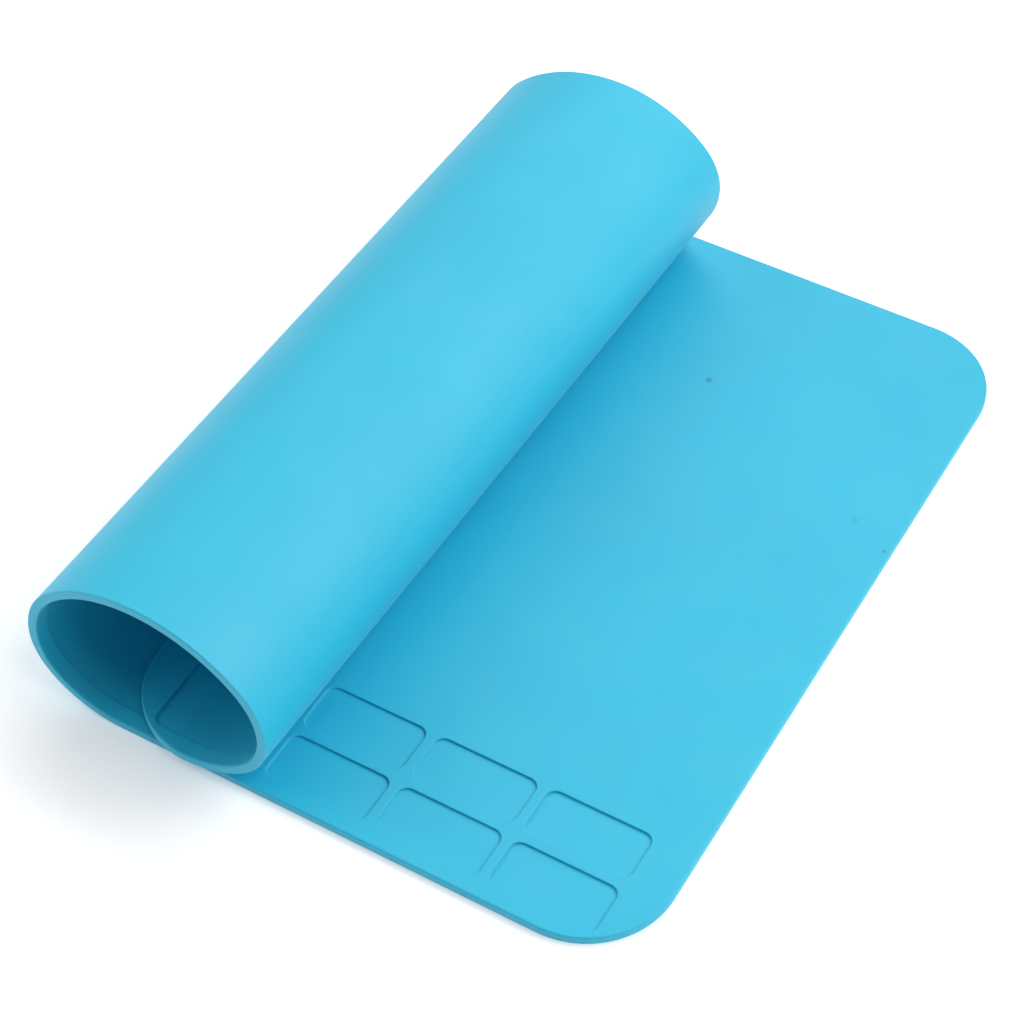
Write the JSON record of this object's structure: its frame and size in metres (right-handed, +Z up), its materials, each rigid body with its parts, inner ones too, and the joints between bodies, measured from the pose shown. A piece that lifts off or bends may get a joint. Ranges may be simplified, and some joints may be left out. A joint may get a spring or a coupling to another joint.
{
  "type": "silicone soldering mat",
  "caption": "Thin rectangular silicone work mat with rounded corners and shallow parts recesses along one edge, lying partly rolled up.",
  "frame": {"origin": "middle of the footprint on the floor: the bottom centre of the box around the mat as it lies", "axes": "+X from the roll toward the flat end, +Y along the mat's width and along the roll, away from the recessed edge, +Z up"},
  "size_m": [0.1454, 0.202, 0.0474],
  "materials": {
    "silicone_blue": "satin"
  },
  "bodies": {
    "root": {"mat": "silicone_blue"}
  },
  "joints": []
}
